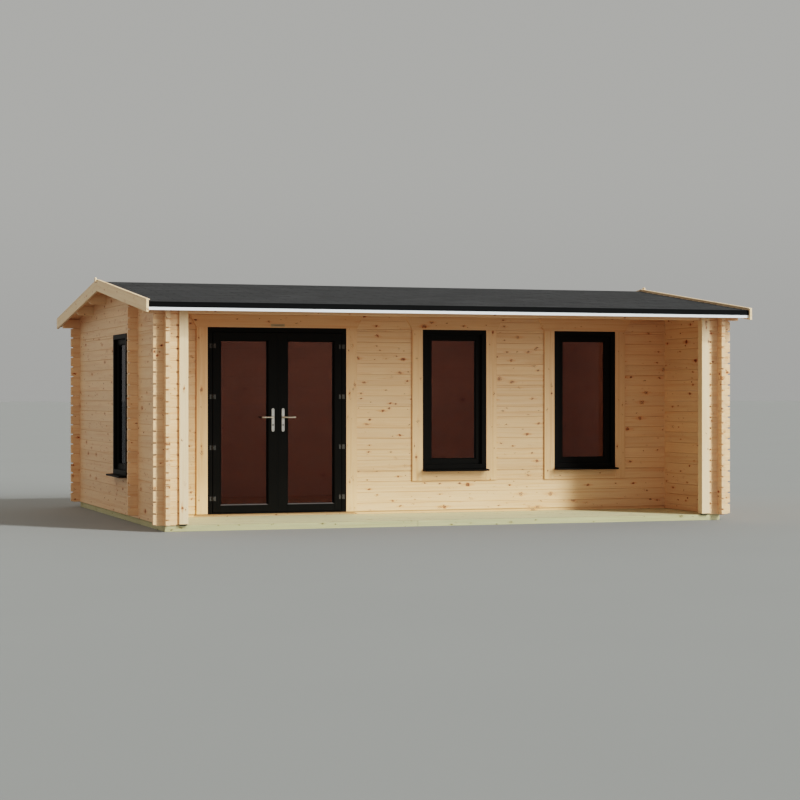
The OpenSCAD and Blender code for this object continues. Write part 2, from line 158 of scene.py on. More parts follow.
def clipped(shape, point, normal):
    """The part of a closed shape behind a plane, closed again."""
    points, faces = shape
    bm = bmesh.new()
    verts = [bm.verts.new(p) for p in points]
    for f in faces:
        bm.faces.new([verts[i] for i in f])
    geometry = bm.verts[:] + bm.edges[:] + bm.faces[:]
    cut = bmesh.ops.bisect_plane(bm, geom=geometry, plane_co=point, plane_no=normal, clear_outer=True)
    rim = [e for e in cut["geom_cut"] if isinstance(e, bmesh.types.BMEdge)]
    bmesh.ops.holes_fill(bm, edges=rim, sides=0)
    bm.verts.index_update()
    result = [v.co.copy() for v in bm.verts], [tuple(v.index for v in f.verts) for f in bm.faces]
    bm.free()
    return result


def placed(name, data):
    """A new object in the scene."""
    thing = bpy.data.objects.new(name, data)
    bpy.context.scene.collection.objects.link(thing)
    return thing


def soften(piece, width, segments, angle):
    """A bevel on the edges that turn by more than an angle in degrees."""
    edge = piece.modifiers.new("edge", "BEVEL")
    edge.width = width
    edge.segments = segments
    edge.limit_method = "ANGLE"
    edge.angle_limit = math.radians(angle)


class Stock:
    """Pieces of one kind gathered into a mesh.

    Each piece of wood gets grain coordinates along, up and through itself, and a number of its own that the
    materials vary by."""

    def __init__(self, seed):
        self.points, self.faces, self.grain, self.number = [], [], [], []
        self.random = random.Random(seed)

    def add(self, shape, along=X, up=Z):
        points, faces = shape
        if not points:
            return
        first = len(self.points)
        through = along.cross(up)
        middle = sum(points, Vector()) / len(points)
        start = self.random.uniform(0, 40)
        number = self.random.random()
        self.points += points
        self.faces += [tuple(first + i for i in f) for f in faces]
        for p in points:
            d = p - middle
            self.grain.append((d.dot(along) + start, d.dot(up), d.dot(through)))
            self.number.append(number)

    def made(self, name, body, material, slot, nodes=(), bevel=0.0015, segments=2, smooth=False):
        mesh = bpy.data.meshes.new(name)
        mesh.from_pydata(self.points, [], self.faces)
        mesh.attributes.new("grain", "FLOAT_VECTOR", "POINT").data.foreach_set(
            "vector", [c for g in self.grain for c in g])
        mesh.attributes.new("number", "FLOAT", "POINT").data.foreach_set("value", self.number)
        bm = bmesh.new()
        bm.from_mesh(mesh)
        bmesh.ops.recalc_face_normals(bm, faces=bm.faces[:])
        bm.to_mesh(mesh)
        bm.free()
        mesh.materials.append(material)
        piece = placed(name, mesh)
        if smooth:
            mesh.polygons.foreach_set("use_smooth", [True] * len(mesh.polygons))
            mesh.set_sharp_from_angle(angle=math.radians(40))
        if bevel:
            soften(piece, bevel, segments, 25)
        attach(piece, body)
        if nodes:
            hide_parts(*nodes)
        return piece


# ---- Materials ----


class Graph:
    """A short way to write node trees: most calls make one node and give back its output."""

    def __init__(self, tree):
        self.tree = tree

    def link(self, value, socket):
        if isinstance(value, bpy.types.NodeSocket):
            self.tree.links.new(value, socket)
        elif value is not None:
            socket.default_value = value

    def new(self, kind, **settings):
        node = self.tree.nodes.new("ShaderNode" + kind)
        for key, value in settings.items():
            setattr(node, key, value)
        return node

    def fed(self, node, *values):
        for value, socket in zip(values, node.inputs):
            self.link(value, socket)
        return node.outputs[0]

    def math(self, op, a, b=None):
        return self.fed(self.new("Math", operation=op), a, b)

    def mul(self, a, b):
        return self.math("MULTIPLY", a, b)

    def add(self, a, b):
        return self.math("ADD", a, b)

    def sub(self, a, b):
        return self.math("SUBTRACT", a, b)

    def most(self, a, b):
        return self.math("MAXIMUM", a, b)

    def power(self, a, b):
        return self.math("POWER", a, b)

    def length(self, a, b):
        return self.math("SQRT", self.add(self.mul(a, a), self.mul(b, b)))

    def ramp(self, value, lo, hi, to_lo=0.0, to_hi=1.0):
        node = self.new("MapRange", interpolation_type="SMOOTHSTEP")
        names = ("Value", "From Min", "From Max", "To Min", "To Max")
        for name, v in zip(names, (value, lo, hi, to_lo, to_hi)):
            self.link(v, node.inputs[name])
        return node.outputs[0]

    def xyz(self, x, y, z):
        return self.fed(self.new("CombineXYZ"), x, y, z)

    def mix(self, amount, a, b):
        return self.fed(self.new("MixShader"), amount, a, b)

    def split(self, vector):
        node = self.new("SeparateXYZ")
        self.link(vector, node.inputs[0])
        return node.outputs

    def noise(self, vector, scale=1.0, detail=2.0, roughness=0.5):
        node = self.new("TexNoise")
        self.link(vector, node.inputs["Vector"])
        node.inputs["Scale"].default_value = scale
        node.inputs["Detail"].default_value = detail
        node.inputs["Roughness"].default_value = roughness
        return node.outputs["Fac"]

    def random(self, vector):
        node = self.new("TexWhiteNoise", noise_dimensions="3D")
        self.link(vector, node.inputs["Vector"])
        return self.split(node.outputs["Color"])

    def blend(self, amount, a, b, how="MIX"):
        node = self.new("Mix", data_type="RGBA", blend_type=how)
        self.link(amount, node.inputs["Factor"])
        colours = [s for s in node.inputs if s.type == "RGBA"]
        self.link(a, colours[0])
        self.link(b, colours[1])
        return next(s for s in node.outputs if s.type == "RGBA")

    def bump(self, height, strength, distance):
        node = self.new("Bump")
        node.inputs["Strength"].default_value = strength
        node.inputs["Distance"].default_value = distance
        self.link(height, node.inputs["Height"])
        return node.outputs["Normal"]


def rgb(r, g, b):
    """Linear colour from the 0 to 255 values that a screen shows."""
    def one(v):
        v /= 255
        return v / 12.92 if v <= 0.04045 else ((v + 0.055) / 1.055) ** 2.4
    return one(r), one(g), one(b), 1.0


def shader(name, **inputs):
    """A new material: its graph and its Principled shader, with the constants given set on the shader."""
    material = bpy.data.materials.new(name)
    material.use_nodes = True
    principled = material.node_tree.nodes["Principled BSDF"]
    for key, value in inputs.items():
        principled.inputs[key.replace("_", " ")].default_value = value
    return material, Graph(material.node_tree), principled


# Added to the distance where a cell has no knot
FAR = 50.0


def knots(g, u, v, number, pitch, smallest, biggest, chance, seed):
    """At most one knot in each cell of that pitch along the grain.

    Gives the distance from it in its own radii, the distance across the grain, and the distance from the middle
    of its streak."""
    cell = g.add(g.math("DIVIDE", u, pitch), g.mul(number, 57.0 + seed))
    index = g.math("FLOOR", cell)
    place = g.mul(g.sub(g.math("FRACT", cell), 0.5), pitch)
    r = g.random(g.xyz(index, g.mul(number, 913.0), seed))
    q = g.random(g.xyz(index, g.mul(number, 517.0), seed + 31.0))
    size = g.add(smallest, g.mul(g.power(r[2], 2.2), biggest - smallest))
    none = g.mul(g.math("GREATER_THAN", q[0], chance), FAR)
    du = g.sub(place, g.mul(g.sub(r[0], 0.5), pitch * 0.62))
    dv = g.sub(v, g.mul(g.sub(r[1], 0.5), 0.082))
    off = g.length(g.math("DIVIDE", du, g.add(1.0, g.mul(q[1], 0.8))), dv)
    streak = g.length(g.math("DIVIDE", du, 5.0), dv)
    return g.add(g.math("DIVIDE", off, size), none), dv, g.add(g.math("DIVIDE", streak, size), none)


def wood(name, light, dark, knot, halo, chance, variation=0.10, roughness=0.55, bump=0.25, weathered=None):
    """Sawn softwood: ring lines that bend round knots, streaks, and a tone for each piece."""
    material, g, principled = shader(name)
    grain = g.new("Attribute", attribute_name="grain").outputs["Vector"]
    number = g.new("Attribute", attribute_name="number").outputs["Fac"]
    u, v, w = g.split(grain)
    own = g.random(g.xyz(g.mul(number, 331.0), 1.0, 2.0))

    # Knots of uneven outline: the place they are measured from wanders
    curl_u = g.noise(g.xyz(g.mul(u, 22.0), g.mul(v, 38.0), g.mul(number, 13.0)), 1.0, 2.0)
    curl_v = g.noise(g.xyz(g.mul(u, 30.0), g.mul(v, 26.0), g.mul(number, 29.0)), 1.0, 2.0)
    knot_u = g.add(u, g.mul(g.sub(curl_u, 0.5), 0.040))
    knot_v = g.add(v, g.mul(g.sub(curl_v, 0.5), 0.022))
    big, big_dv, big_streak = knots(g, knot_u, knot_v, number, 0.50, 0.006, 0.016, chance[0], 3.0)
    small, small_dv, small_streak = knots(g, knot_u, knot_v, number, 0.23, 0.0026, 0.008, chance[1], 11.0)

    # The grain spreads round each knot and wanders slowly
    spread = g.add(g.mul(big_dv, g.power(2.718, g.mul(g.mul(big, big), -0.16))),
                   g.mul(small_dv, g.power(2.718, g.mul(g.mul(small, small), -0.16))))
    bent = g.sub(v, g.mul(spread, 0.85))
    slow = g.noise(g.xyz(g.mul(u, 0.9), g.mul(bent, 3.0), g.mul(number, 40.0)), 1.0, 2.0)
    bent = g.add(bent, g.mul(g.sub(slow, 0.5), 0.030))

    # Growth rings about a pith that runs beside the piece
    pith_v = g.mul(g.sub(own[0], 0.5), 0.09)
    wander = g.mul(g.noise(g.xyz(g.mul(u, 0.55), own[2], 3.0), 1.0, 1.0), 0.03)
    radius = g.length(g.sub(bent, pith_v), g.add(w, g.add(0.022, g.add(g.mul(own[1], 0.05), wander))))
    ring = g.math("FRACT", g.math("DIVIDE", radius, 0.0042))
    late = g.mul(g.ramp(ring, 0.35, 0.9), g.ramp(ring, 1.0, 0.93))

    fibre = g.noise(g.xyz(g.mul(u, 6.0), g.mul(bent, 420.0), g.mul(w, 420.0)), 1.0, 3.0, 0.6)
    band = g.noise(g.xyz(g.mul(u, 0.8), g.mul(bent, 34.0), g.mul(number, 71.0)), 1.0, 3.0, 0.55)
    cloud = g.noise(g.xyz(g.mul(u, 1.6), g.mul(v, 9.0), g.mul(number, 23.0)), 1.0, 2.0)

    tone = g.add(g.mul(g.ramp(band, 0.45, 0.75), 0.50), g.mul(g.sub(fibre, 0.5), 0.25))
    tone = g.add(g.mul(late, 0.30), tone)
    colour = g.blend(g.math("MINIMUM", g.most(tone, 0.0), 1.0), light, dark)
    colour = g.blend(g.mul(g.ramp(cloud, 0.5, 0.85), 0.40), colour, dark)
    if weathered:
        wash = g.noise(g.xyz(g.mul(u, 3.0), g.mul(v, 30.0), g.mul(number, 9.0)), 1.0, 4.0, 0.65)
        colour = g.blend(g.mul(g.ramp(wash, 0.40, 0.70), 0.7), colour, weathered)

    # A tone for each piece
    level = g.add(1.0 - variation * 0.6, g.mul(own[2], variation))
    colour = g.blend(1.0, colour, g.xyz(level, level, level), "MULTIPLY")
    warmer = g.blend(1.0, colour, (1.0, 0.88, 0.72, 1.0), "MULTIPLY")
    colour = g.blend(g.mul(own[0], variation * 2.2), colour, warmer)

    glow = g.most(g.mul(g.ramp(big, 2.1, 0.95), 0.85), g.mul(g.ramp(small, 2.0, 0.9), 0.70))
    trail = g.most(g.mul(g.ramp(big_streak, 1.7, 0.4), 0.42), g.mul(g.ramp(small_streak, 1.5, 0.3), 0.34))
    glow = g.most(glow, trail)
    colour = g.blend(glow, colour, halo)
    core = g.most(g.ramp(big, 1.12, 0.86), g.ramp(small, 1.2, 0.8))
    heart = g.blend(g.mul(g.ramp(g.math("FRACT", g.mul(big, 3.0)), 0.2, 0.8), 0.5), knot, halo)
    colour = g.blend(g.mul(core, 0.92), colour, g.blend(g.ramp(big, 1.0, 0.75), knot, heart))

    g.link(colour, principled.inputs["Base Color"])
    g.link(g.add(roughness, g.mul(g.sub(fibre, 0.5), 0.18)), principled.inputs["Roughness"])
    height = g.add(g.mul(fibre, 0.6), g.sub(g.mul(late, 0.35), g.mul(core, 0.7)))
    g.link(g.bump(height, bump, 0.001), principled.inputs["Normal"])
    return material


KNOT, HALO = rgb(62, 28, 12), rgb(204, 112, 46)
log_pine = wood("log_pine", rgb(237, 200, 163), rgb(220, 168, 126), KNOT, HALO, (0.62, 0.55))
beam_pine = wood("beam_pine", rgb(240, 213, 179), rgb(228, 191, 149), KNOT, HALO, (0.30, 0.35))
board_pine = wood("board_pine", rgb(235, 196, 157), rgb(217, 165, 122), KNOT, HALO, (0.35, 0.5))
floor_pine = wood("floor_pine", rgb(222, 184, 134), rgb(202, 156, 104), KNOT, HALO, (0.5, 0.5))
treated = wood("treated_timber", rgb(194, 188, 152), rgb(174, 167, 128), rgb(108, 94, 60), rgb(156, 142, 96),
               (0.4, 0.4), variation=0.12, roughness=0.75, bump=0.5, weathered=rgb(182, 178, 144))
# The deck boards get a lighter copy of the bearers' treated timber: painted light on the deck's top.
deck_painted_light = wood("treated_boards_painted_light", rgb(213, 209, 176), rgb(196, 190, 152), rgb(118, 104, 68), rgb(168, 154, 106),
            (0.4, 0.4), variation=0.10, roughness=0.7, bump=0.4, weathered=rgb(204, 200, 170))


def roofing():
    """Mineral felt: fine granules, a tone for each tab, and faint weathering."""
    material, g, principled = shader("mineral_felt")
    where = g.new("TexCoord").outputs["Object"]
    number = g.new("Attribute", attribute_name="number").outputs["Fac"]
    own = g.random(g.xyz(g.mul(number, 331.0), 5.0, 2.0))
    grit = g.noise(where, 900.0, 2.0, 0.7)
    x, y = g.split(where)[:2]
    wash = g.noise(g.xyz(g.mul(x, 1.6), g.mul(y, 9.0), 0.0), 1.0, 3.0, 0.6)
    tone = g.add(g.mul(grit, 0.40), g.add(g.mul(own[0], 0.35), g.mul(g.ramp(wash, 0.35, 0.7), 0.35)))
    g.link(g.blend(tone, rgb(26, 26, 27), rgb(58, 58, 59)), principled.inputs["Base Color"])
    g.link(g.add(0.78, g.mul(grit, 0.15)), principled.inputs["Roughness"])
    g.link(g.bump(grit, 0.6, 0.0015), principled.inputs["Normal"])
    return material


def coating(name, base, worn, roughness, gloss=0.5, grain=300.0, strength=0.08):
    """Coated or moulded surface: slight unevenness of colour and sheen, and a fine texture."""
    material, g, principled = shader(name, Specular_IOR_Level=gloss)
    where = g.new("TexCoord").outputs["Object"]
    fine = g.noise(where, grain, 2.0, 0.6)
    patch = g.noise(where, 3.5, 4.0, 0.6)
    g.link(g.blend(g.mul(g.ramp(patch, 0.4, 0.75), 0.6), base, worn), principled.inputs["Base Color"])
    g.link(g.add(roughness, g.mul(g.sub(patch, 0.5), 0.16)), principled.inputs["Roughness"])
    g.link(g.bump(fine, strength, 0.0006), principled.inputs["Normal"])
    return material


def metal(name, base, roughness, along):
    """Brushed metal: hair lines along one axis, and a little unevenness."""
    material, g, principled = shader(name, Metallic=1.0)
    where = g.split(g.new("TexCoord").outputs["Object"])
    scaled = [g.mul(where[i], 30.0 if "XYZ"[i] == along else 2600.0) for i in range(3)]
    hair = g.noise(g.xyz(*scaled), 1.0, 2.0, 0.6)
    dull = [c * 0.72 for c in base[:3]] + [1.0]
    g.link(g.blend(g.mul(hair, 0.6), base, dull), principled.inputs["Base Color"])
    g.link(g.add(roughness, g.mul(g.sub(hair, 0.5), 0.22)), principled.inputs["Roughness"])
    g.link(g.bump(hair, 0.12, 0.0003), principled.inputs["Normal"])
    return material


def glass(name, tint, gloss_level):
    """Tinted pane: the tint is what shows through each face, the gloss grows towards a grazing view."""
    material, g, principled = shader(name)
    g.tree.nodes.remove(principled)
    clear = g.fed(g.new("BsdfTransparent"), tint)
    gloss = g.fed(g.new("BsdfGlossy"), gloss_level, 0.03)
    facing = g.fed(g.new("Fresnel"), 1.45)
    g.link(g.mix(facing, clear, gloss), g.tree.nodes["Material Output"].inputs[0])
    return material


felt = roofing()
black_edge = coating("black_edge", rgb(10, 10, 10), rgb(18, 18, 18), 0.6, 0.15)
white_edge = coating("white_edge", rgb(240, 241, 242), rgb(230, 231, 233), 0.4)
black_frame = coating("black_frame", rgb(20, 18, 13), rgb(26, 23, 17), 0.5, 0.12, 180.0, 0.12)
# The foot beads' grey is a painted highlight: it stands in for the bright sky that a sloped, glossy black bead
# reflects.
painted_sheen_bead = coating("painted_sheen_bead", rgb(96, 92, 90), rgb(112, 106, 102), 0.4, 0.5, 180.0, 0.08)
rubber = coating("rubber_seal", rgb(12, 12, 12), rgb(20, 20, 20), 0.7, 0.2)
satin = metal("satin_metal", rgb(196, 192, 186), 0.34, "Z")
lever_metal = metal("lever_metal", rgb(222, 214, 202), 0.3, "X")
vent_metal = metal("vent_metal", rgb(214, 198, 172), 0.5, "X")
hinge_metal = metal("hinge_metal", rgb(88, 85, 81), 0.5, "Z")
screw_metal = metal("screw_metal", rgb(96, 93, 90), 0.4, "Z")
tinted = glass("tinted_glass", (0.625, 0.60, 0.62, 1.0), (0.4, 0.4, 0.42, 1.0))


# ---- Base and floors ----


def bearers():
    stock = Stock(11)
    x0, x1, y0, y1, z0, z1 = span("bearers")
    w, seam, gap = 0.060, -0.40, 0.002
    thin, low, pitch, bays = 0.045, 0.032, 0.400, 7
    for a, b in ((x0, seam), (seam + gap, x1)):
        stock.add(block(a, b, y0, y0 + w, z0, z1), X, Z)
        stock.add(block(-b, -a, y1 - w, y1, z0, z1), X, Z)
    for a, b in ((x0, x0 + w), (x1 - w, x1)):
        stock.add(block(a, b, y0 + w, y1 - w, z0, z1), Y, Z)
    sole = RECESS_Y + LOG_T / 2
    rows = [(sole, w, z1)]
    step = (y1 - w - sole - w / 2) / bays
    rows += [(sole + w / 2 + i * step, thin, z1) for i in range(1, bays)]
    rows += [(y0 + w / 2 + i * pitch, thin, low) for i in (1, 2)]
    for at, wide, high in rows:
        stock.add(block(x0 + w, x1 - w, at - wide / 2, at + wide / 2, z0, high), X, Z)
    stock.made("base_bearers", "cabin", treated, "treated_timber", ["bearers"], 0.002)


def boards_between(stock, node, count, gap, ends):
    """Floor boards that run along X, with end joints at the fractions given, row after row."""
    x0, x1, y0, y1, z0, z1 = span(node)
    pitch = (y1 - y0) / count
    for i in range(count):
        a, b = y0 + i * pitch + gap / 2, y0 + (i + 1) * pitch - gap / 2
        cuts = [x0] + [x0 + (x1 - x0) * c for c in ends[i % len(ends)]] + [x1]
        for c, d in zip(cuts, cuts[1:]):
            stock.add(block(c + 0.0005, d - 0.0005, a, b, z0, z1 - stock.random.uniform(0, 0.0006)), X, Y)


def floors():
    stock = Stock(12)
    boards_between(stock, "veranda_floor", 10, 0.004, [(0.42,), (0.68,)])
    stock.made("veranda_boards", "cabin", deck_painted_light, "treated_timber", ["veranda_floor"], 0.0025)
    stock = Stock(13)
    boards_between(stock, "room_floor", 30, 0.001, [(0.35, 0.8), (0.6,), (0.2, 0.7)])
    stock.made("room_boards", "cabin", floor_pine, "pine_floor", ["room_floor"], 0.0012)
    stock = Stock(14)
    stock.add(block(*span("wall_sole")), X, Z)
    stock.made("front_wall_sole", "cabin", board_pine, "pine_logs", ["wall_sole"], 0.0015)


# ---- Log walls ----

NOTCH_D, NOTCH_H = 0.026, 0.007
CHAMFER, SEAM = 0.0028, 0.0003
COURSES = 40
SLIVER, CLOSE = 0.004, 0.001


def log(a, b, y, z0, z1, free_a=False, free_b=False):
    """A log along X from a to b with its front face at y, chamfered along its joints.

    A free end is notched above and below."""
    c, t = CHAMFER, LOG_T

    def ring(x, cut):
        lo, hi = z0 + cut + SEAM, z1 - cut - SEAM
        return [Vector((x, y + p, z)) for p, z in (
            (0, lo + c), (c, lo), (t - c, lo), (t, lo + c), (t, hi - c), (t - c, hi), (c, hi), (0, hi - c))]

    rings = [ring(a, NOTCH_H), ring(a + NOTCH_D, NOTCH_H), ring(a + NOTCH_D, 0)] if free_a else [ring(a, 0)]
    rings += [ring(b - NOTCH_D, 0), ring(b - NOTCH_D, NOTCH_H), ring(b, NOTCH_H)] if free_b else [ring(b, 0)]
    points = [p for r in rings for p in r]
    faces = [tuple(range(8))[::-1], tuple(range(len(points) - 8, len(points)))]
    for k in range(len(rings) - 1):
        faces += [(8 * k + i, 8 * k + (i + 1) % 8, 8 * k + 8 + (i + 1) % 8, 8 * k + 8 + i) for i in range(8)]
    return points, faces


def courses(first, z0, z1):
    """Bottom and top of every course between two heights, its joints at first + n log heights."""
    heights = [first + LOG_H * n for n in range(COURSES)]
    joints = [z0] + [z for z in heights if z0 + SLIVER < z < z1 - SLIVER] + [z1]
    return list(zip(joints, joints[1:]))


def pieces_between(low, high, lo_end, hi_end, holes):
    """Lengths of one course, cut off at the openings (from, to, bottom, top).

    Gives from, to, bottom and top of each, and whether its ends are the wall's own."""
    heights = sorted({round(h, 5) for hole in holes for h in hole[2:] if low + CLOSE < h < high - CLOSE})
    cuts = [low] + heights + [high]
    for a, b in zip(cuts, cuts[1:]):
        start = lo_end
        for h0, h1 in sorted(h[:2] for h in holes if h[2] < (a + b) / 2 < h[3]) + [(hi_end, None)]:
            if h0 > start + CLOSE:
                yield start, h0, a, b, start == lo_end, h1 is None
            start = h1


def x_wall(stock, x0, x1, y, z0, z1, free0, free1, holes=()):
    """Logs along X from x0 to x1, cut off at the openings and under the roof."""
    top = min(z1, under_z(y) if y < 0 else under_z(y + LOG_T))
    for low, high in courses(BASE_H + LOG_H, z0, top):
        for c, d, a, b, first, last in pieces_between(low, high, x0, x1, holes):
            stock.add(log(c, d, y, a, b, first and free0, last and free1), X, Z)


def gable_wall(stock, x, holes):
    """A gable wall's logs along Y with their outer face at x, cut to the roof's slopes and at its window."""
    quarter = Matrix.Translation((x + LOG_T, 0, 0)) @ Matrix.Rotation(math.radians(90), 4, "Z")
    n = Vector((0, SLOPE, 1)).normalized()
    for low, high in courses(BASE_H + LOG_H / 2, BASE_H, under_z(0)):
        for c, d, a, b, first, last in pieces_between(low, high, GABLE_Y0, GABLE_Y1, holes):
            shape = moved(log(c, d, 0, a, b, first, last), quarter)
            if b > under_z(GABLE_Y1):
                for s in (-1, 1):
                    if shape[0]:
                        shape = clipped(shape, Vector((0, 0, under_z(0) - SEAM)), Vector((0, s * n.y, n.z)))
            stock.add(shape, Y, Z)


def window_hole(node, axis):
    """The opening that a window and its sill fill, along X (0) or Y (2)."""
    box = span(node)
    return box[axis], box[axis + 1], box[4] - SILL_T, box[5]


def walls():
    front_holes = [window_hole("front_window_1", 0), window_hole("front_window_2", 0)]
    over = span("front_wall_over_door")
    top = RIDGE_TOP
    left, right = span("left_return")[:2], span("right_return")[:2]
    # Seed, CAD node, from, to, front face, bottom, top, which ends are free, and the openings
    runs = {
        "front_left_logs": (21, "front_wall_left", -CROSS_X, over[0], RECESS_Y, FLOOR_Z, top, True, False),
        "over_door_logs": (22, "front_wall_over_door", *over[:2], RECESS_Y, over[4], top, False, False),
        "front_right_logs": (23, "front_wall_right", over[1], CROSS_X, RECESS_Y, FLOOR_Z, top, False, True,
                             front_holes),
        "back_logs": (24, "back_wall", -CROSS_X, CROSS_X, BACK_Y - LOG_T, BASE_H, HEADER_Z, True, True),
        "left_return_logs": (25, "left_return", *left, FRONT_Y, BASE_H, HEADER_Z, True, True),
        "right_return_logs": (26, "right_return", *right, FRONT_Y, BASE_H, HEADER_Z, True, True),
    }
    for name, (seed, node, *sizes) in runs.items():
        stock = Stock(seed)
        x_wall(stock, *sizes)
        stock.made(name, "cabin", log_pine, "pine_logs", [node], 0.0010, 1)
    stock = Stock(27)
    for y in (FRONT_Y, BACK_Y - LOG_T):
        x_wall(stock, -ROOF_X, ROOF_X, y, HEADER_Z, top, False, False)
    stock.made("header_logs", "cabin", log_pine, "pine_logs", ["header_log"], 0.0010, 1)
    for seed, side, x, holes in ((28, "left", -HALF_W, [window_hole("side_window", 2)]),
                                 (29, "right", HALF_W - LOG_T, [])):
        stock = Stock(seed)
        gable_wall(stock, x, holes)
        stock.made(side + "_gable_logs", "cabin", log_pine, "pine_logs", [side + "_wall"], 0.0010, 1)


# ---- Posts, beams and roof ----

BARGE_TOP, BARGE_H, CAP_T, CAP_LAP = 0.016, 0.113, 0.012, 0.010


def posts():
    stock, feet = Stock(31), Stock(30)
    x0, x1, y0, y1, z0, z1 = span("corner_posts")
    foot, inset = 0.010, 0.010
    for a in (x0, x1 - POST_W):
        outline = [(y0, z0 + foot), (y1, z0 + foot), (y1, HEADER_Z), (FRONT_Y, HEADER_Z), (FRONT_Y, z1),
                   (y0, z1)]
        stock.add(prism(outline, a, a + POST_W, "x"), Z, X)
        feet.add(block(a + inset, a + POST_W - inset, y0 + inset, y1 - inset, z0, z0 + foot))
    stock.made("veranda_posts", "cabin", beam_pine, "pine_beams", ["corner_posts"], 0.003)
    # Each post stands on a pad, and the pad is black so that it darkens the gap under the post: painted shade.
    feet.made("post_feet_painted_shade", "cabin", rubber, "black_edge", (), 0.001)


def purlins():
    half, cut = PURLIN_W / 2, 0.035
    near, far = span("back_purlins")[2] + half, span("back_purlins")[3] - half
    for seed, node, rows in ((32, "ridge_purlin", [0]), (33, "front_purlins", [-near, -far]),
                             (34, "back_purlins", [near, far])):
        stock = Stock(seed)
        for y in rows:
            a, b = y - half, y + half
            low = under_z(abs(y) + half) - PURLIN_H + (PURLIN_W * SLOPE if y == 0 else 0)
            ridge = [(0, under_z(0))] if y == 0 else []
            outline = [(a, low), (b, low), (b, under_z(b))] + ridge + [(a, under_z(a))]
            shape = prism(outline, -ROOF_X, ROOF_X, "x")
            for s in (-1, 1):
                shape = clipped(shape, Vector((s * ROOF_X, 0, low + cut)), Vector((s, 0, -1)).normalized())
            stock.add(shape, X, Z)
        stock.made(node + "_beams", "cabin", beam_pine, "pine_beams", [node], 0.003)


def slope_board(stock, x0, x1, s, low, high, y0, on_edge):
    """A board that follows the roof's slope on the side s, from low to high over the covering.

    It stands on edge or lies flat, and starts y0 from the ridge."""
    outline = [(s * y0, cover_z(0) + high), (s * EAVE_Y, cover_z(EAVE_Y) + high),
               (s * EAVE_Y, cover_z(EAVE_Y) + low), (s * y0, cover_z(0) + low)]
    along = Vector((0, s, -SLOPE)).normalized()
    stock.add(prism(outline, x0, x1, "x"), along, X.cross(along) if on_edge else X)


def barge_boards():
    for seed, node, x0, x1 in ((35, "left_barge_boards", -BARGE_X, -ROOF_X),
                               (36, "right_barge_boards", ROOF_X, BARGE_X)):
        stock = Stock(seed)
        for s in (-1, 1):
            slope_board(stock, x0, x1, s, BARGE_TOP - BARGE_H, BARGE_TOP, 0.0005, True)
        stock.made(node + "_timber", "cabin", beam_pine, "pine_beams", [node], 0.002)
    stock = Stock(37)
    for x0, x1 in ((-BARGE_X, -ROOF_X + CAP_LAP), (ROOF_X - CAP_LAP, BARGE_X)):
        for s in (-1, 1):
            slope_board(stock, x0, x1, s, BARGE_TOP + 0.0003, BARGE_TOP + CAP_T, 0.0003, False)
    stock.made("barge_cap_strips", "cabin", beam_pine, "pine_beams", ["barge_caps"], 0.0025)
    stock = Stock(38)
    x0, x1, y0, y1, z0, z1 = span("ridge_blocks")
    shoulder = z1 - 0.008
    for a, b in ((x0, -BARGE_X), (BARGE_X, x1)):
        outline = [(y0, z0), (y1, z0), (y1, shoulder), (0, z1), (y0, shoulder)]
        stock.add(prism(outline, a, b, "x"), Z, Y)
    stock.made("ridge_end_blocks", "cabin", beam_pine, "pine_beams", ["ridge_blocks"], 0.0025)


def roof_boards(stock, s):
    """Tongued boards from ridge to eave, their lower edges chamfered."""
    count, c, seam = 66, 0.0035, 0.0004
    wide = 2 * ROOF_X / count
    for i in range(count):
        x0, x1 = -ROOF_X + i * wide, -ROOF_X + i * wide + wide
        section = ((x0 + c, 0), (x1 - c, 0), (x1 - seam, c), (x1 - seam, BOARD_T), (x0 + seam, BOARD_T),
                   (x0 + seam, c))
        points = [Vector((x, y, under_z(y) + z)) for y in (0.0, s * COVER_Y) for x, z in section]
        faces = [tuple(range(6)), tuple(range(6, 12))[::-1]]
        faces += [(k, (k + 1) % 6, (k + 1) % 6 + 6, k + 6) for k in range(6)]
        stock.add((points, faces), Y, X)


def shingles(stock, s):
    """Felt shingles in courses on a base sheet, each course lapping the one below it."""
    rows, tab, slit, shift = 18, 0.3333, 0.0025, 0.02
    least, head, sheet = 0.01, -0.0006, -0.0022
    deep = COVER_Y / rows
    for r in range(rows):
        y0, y1 = COVER_Y - r * deep, COVER_Y - (r + 1) * deep
        x = -ROOF_X - (tab / 2 if r % 2 else 0) - stock.random.uniform(0, shift)
        while x < ROOF_X:
            a, b = max(x + slit, -ROOF_X), min(x + tab - slit, ROOF_X)
            x += tab
            if b - a < least:
                continue
            lift = 0.0016 + stock.random.uniform(0, 0.0008)
            outline = [(y0, cover_z(y0) - COVER_T), (y0, cover_z(y0) + lift),
                       (y1, cover_z(y1) + head), (y1, cover_z(y1) - COVER_T)]
            stock.add(prism([(s * y, z) for y, z in outline], a, b, "x"), X, Y)
    base = [(0, cover_z(0) - COVER_T), (0, cover_z(0) + sheet),
            (s * COVER_Y, cover_z(COVER_Y) + sheet), (s * COVER_Y, cover_z(COVER_Y) - COVER_T)]
    stock.add(prism(base, -ROOF_X, ROOF_X, "x"), X, Y)


def ridge_caps(stock):
    """Short lengths of felt folded over the ridge."""
    half, count, seam = 0.11, 20, 0.001
    edge, lift, peak, foot = cover_z(half), 0.0018, 0.0036, -0.001
    outline = [(-half, edge + lift), (0, cover_z(0) + peak), (half, edge + lift),
               (half, edge + foot), (0, cover_z(0) + foot), (-half, edge + foot)]
    wide = 2 * ROOF_X / count
    for i in range(count):
        x = -ROOF_X + i * wide
        stock.add(prism(outline, x + seam, x + wide - seam, "x"), X, Y)


